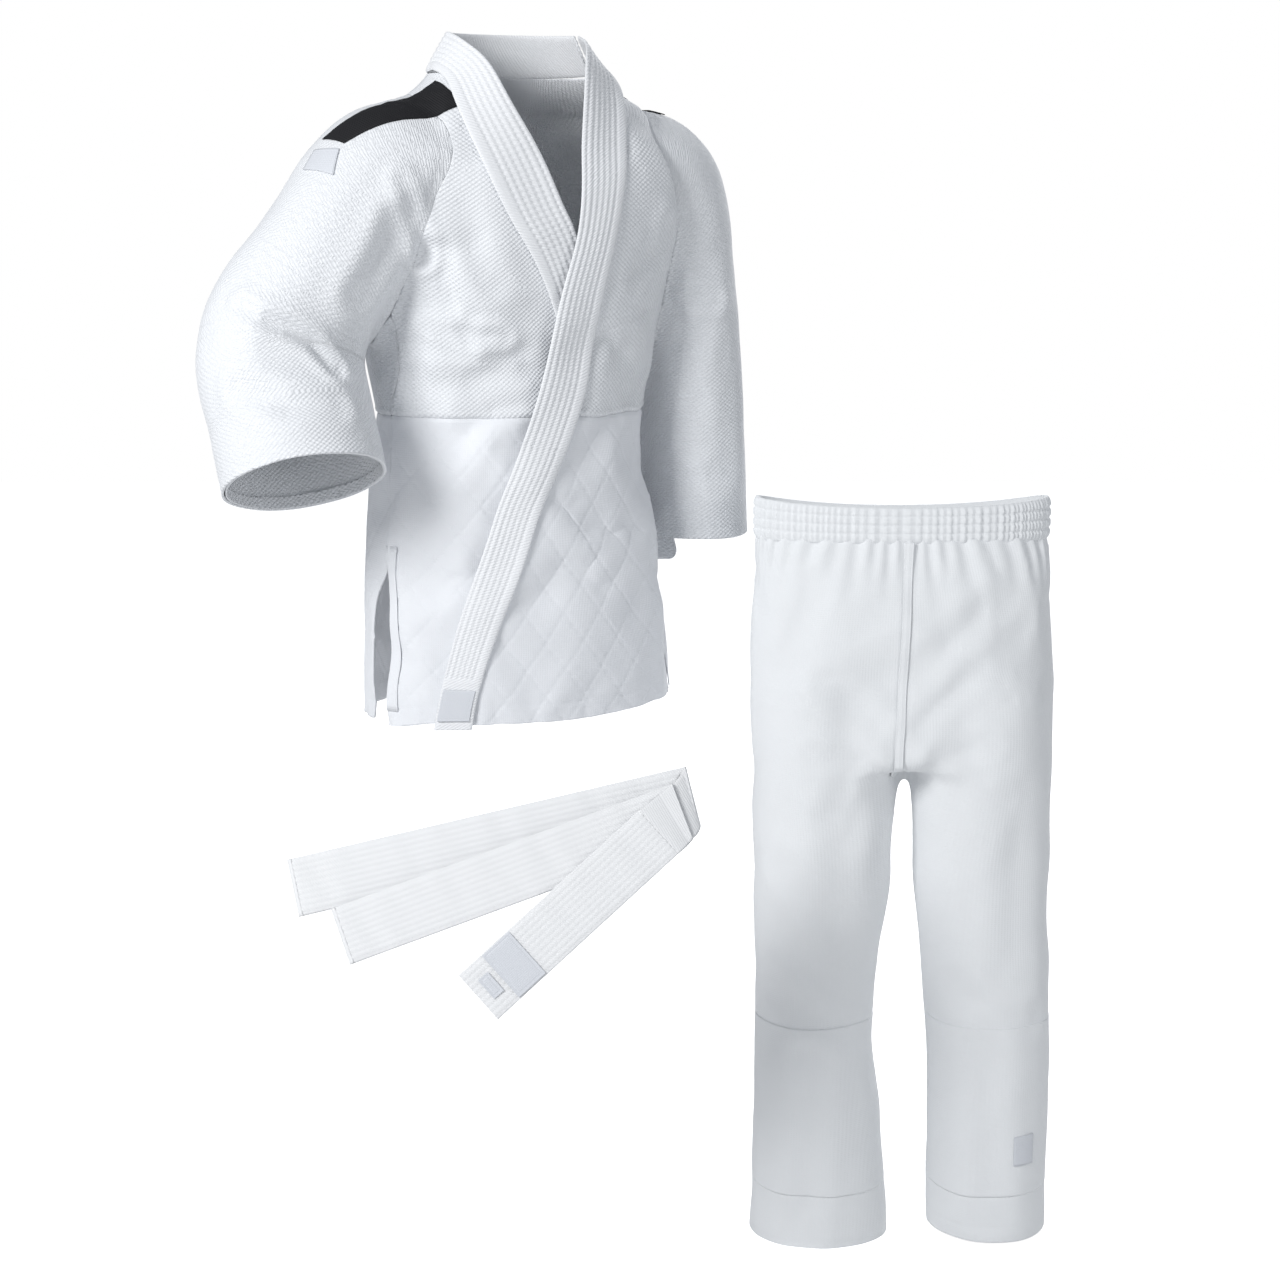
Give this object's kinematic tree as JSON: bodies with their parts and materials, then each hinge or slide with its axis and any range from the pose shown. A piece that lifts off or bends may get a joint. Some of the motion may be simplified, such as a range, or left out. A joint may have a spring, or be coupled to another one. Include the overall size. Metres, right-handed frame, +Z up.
{
  "type": "martial arts uniform",
  "caption": "White judo uniform: wrap-over jacket with quilted skirt and stitched lapels, elastic-waisted trousers, and a folded stitched belt.",
  "frame": {"origin": "middle of the displayed set's footprint, at the level of the lowest trouser hem", "axes": "+Z up, -Y towards the viewer, +X to the viewer's right; the jacket is turned 25 degrees about +Z"},
  "size_m": [0.8828, 0.5927, 1.274],
  "materials": {
    "jacket_cloth": "heavy rice-grain weave, bleached cotton",
    "skirt_cloth": "plain weave with quilted diamonds",
    "lapel_cloth": "smooth twill with rows of stitching",
    "trouser_cloth": "light plain-weave cotton",
    "belt_cloth": "satin-like cotton with rows of stitching",
    "tape_cloth": "black woven tape",
    "label_cloth": "smooth woven label, blank",
    "dark_label_cloth": "dark woven label, blank",
    "elastic": "knitted elastic band"
  },
  "bodies": {
    "jacket": {"back_panel": "jacket_cloth", "right_front_panel": "jacket_cloth", "right_front_skirt": "skirt_cloth", "left_front_panel": "jacket_cloth", "left_side_skirt": "skirt_cloth", "neck_band": "lapel_cloth", "right_lapel": "lapel_cloth", "left_lapel_upper": "lapel_cloth", "right_shoulder_tape": "tape_cloth", "left_shoulder_tape": "tape_cloth", "neck_label": "dark_label_cloth", "right_vent_facing": "skirt_cloth", "left_vent_facing": "skirt_cloth"},
    "front_flap": {"left_front_flap": "jacket_cloth", "left_front_skirt": "skirt_cloth", "left_lapel_middle": "lapel_cloth", "left_lapel_lower": "lapel_cloth", "lapel_patch": "label_cloth"},
    "back_tail": {"back_skirt": "skirt_cloth"},
    "right_upper_arm": {"right_upper_sleeve": "jacket_cloth", "right_shoulder_patch": "label_cloth"},
    "right_lower_arm": {"right_forearm_sleeve": "jacket_cloth", "right_cuff_hem": "jacket_cloth"},
    "left_upper_arm": {"left_upper_sleeve": "jacket_cloth"},
    "left_lower_arm": {"left_forearm_sleeve": "jacket_cloth", "left_cuff_hem": "jacket_cloth"},
    "trousers": {"right_hip_panel": "trouser_cloth", "left_hip_panel": "trouser_cloth", "waistband_casing": "trouser_cloth", "waist_elastic": "elastic", "front_seam_tape": "trouser_cloth", "crotch_gusset": "trouser_cloth"},
    "right_upper_leg": {"right_thigh": "trouser_cloth"},
    "right_lower_leg": {"right_shin": "trouser_cloth", "right_knee_patch": "trouser_cloth", "right_leg_hem": "trouser_cloth"},
    "left_upper_leg": {"left_thigh": "trouser_cloth"},
    "left_lower_leg": {"left_shin": "trouser_cloth", "left_knee_patch": "trouser_cloth", "left_leg_hem": "trouser_cloth", "leg_patch": "label_cloth"},
    "belt_back": {"belt_run_1": "belt_cloth"},
    "belt_second": {"belt_run_2": "belt_cloth"},
    "belt_third": {"belt_run_3": "belt_cloth"},
    "belt_fourth": {"belt_run_4": "belt_cloth"},
    "belt_front": {"belt_run_5": "belt_cloth", "belt_end_patch": "label_cloth", "belt_size_tab": "label_cloth"}
  },
  "joints": [
    {"name": "front_flap_open", "type": "hinge", "parent": "jacket", "child": "front_flap", "pos_m": [0.00346, 0.05961, 0.8], "axis": [0, 0, 1], "range_deg": [0, 115]},
    {"name": "back_skirt_lift", "type": "hinge", "parent": "jacket", "child": "back_tail", "pos_m": [-0.19259, 0.21976, 0.892], "axis": [0.9063, 0.4226, 0], "range_deg": [0, 30]},
    {"name": "right_sleeve_raise", "type": "hinge", "parent": "jacket", "child": "right_upper_arm", "pos_m": [-0.26261, 0.01498, 1.2], "axis": [-0.4226, 0.9063, 0], "range_deg": [0, 50]},
    {"name": "right_elbow_straighten", "type": "hinge", "parent": "right_upper_arm", "child": "right_lower_arm", "pos_m": [-0.43539, 0.02581, 0.96749], "axis": [0.3656, 0.8645, -0.3448], "range_deg": [0, 40]},
    {"name": "left_sleeve_raise", "type": "hinge", "parent": "jacket", "child": "left_upper_arm", "pos_m": [0.02107, 0.16381, 1.172], "axis": [0.4226, -0.9063, 0], "range_deg": [0, 50]},
    {"name": "left_elbow_bend", "type": "hinge", "parent": "left_upper_arm", "child": "left_lower_arm", "pos_m": [0.09713, 0.15095, 0.8958], "axis": [-0.7071, -0.7071, 0], "range_deg": [0, 20]},
    {"name": "trousers_set_aside", "type": "slide", "parent": "jacket", "child": "trousers", "axis": [1, 0, 0], "range_m": [0, 0.3]},
    {"name": "right_hip_bend", "type": "hinge", "parent": "trousers", "child": "right_upper_leg", "pos_m": [0.1864, 0.0074, 0.542], "axis": [-1, 0, 0], "range_deg": [0, 50]},
    {"name": "right_knee_bend", "type": "hinge", "parent": "right_upper_leg", "child": "right_lower_leg", "pos_m": [0.1804, 0.1476, 0.258], "axis": [1, 0, 0], "range_deg": [0, 70]},
    {"name": "left_hip_bend", "type": "hinge", "parent": "trousers", "child": "left_upper_leg", "pos_m": [0.3464, 0.0074, 0.542], "axis": [-1, 0, 0], "range_deg": [0, 50]},
    {"name": "left_knee_bend", "type": "hinge", "parent": "left_upper_leg", "child": "left_lower_leg", "pos_m": [0.3664, 0.1476, 0.258], "axis": [1, 0, 0], "range_deg": [0, 70]},
    {"name": "belt_set_aside", "type": "slide", "parent": "jacket", "child": "belt_back", "axis": [0, -1, 0], "range_m": [0, 0.2]},
    {"name": "belt_unfold", "type": "hinge", "parent": "belt_back", "child": "belt_second", "pos_m": [-0.32357, -0.23683, 0.4822], "axis": [0.2281, -0.333, -0.9149], "range_deg": [0, 150]},
    {"name": "belt_second_fold", "type": "hinge", "parent": "belt_second", "child": "belt_third", "pos_m": [0.03575, -0.21744, 0.5501], "axis": [-0.2871, 0.3276, 0.9001], "range_deg": [0, 90]},
    {"name": "belt_third_fold", "type": "hinge", "parent": "belt_third", "child": "belt_fourth", "pos_m": [-0.27754, -0.26149, 0.4437], "axis": [0.3451, -0.321, -0.8819], "range_deg": [0, 90]},
    {"name": "belt_front_fold", "type": "hinge", "parent": "belt_fourth", "child": "belt_front", "pos_m": [0.01654, -0.23285, 0.537], "axis": [-0.5199, 0.2922, 0.8027], "range_deg": [0, 90]}
  ],
  "couplings": [
    {"joint": "belt_second_fold", "follows": "belt_unfold", "ratio": 0.6},
    {"joint": "belt_third_fold", "follows": "belt_unfold", "ratio": 0.6},
    {"joint": "belt_front_fold", "follows": "belt_unfold", "ratio": 0.6}
  ]
}
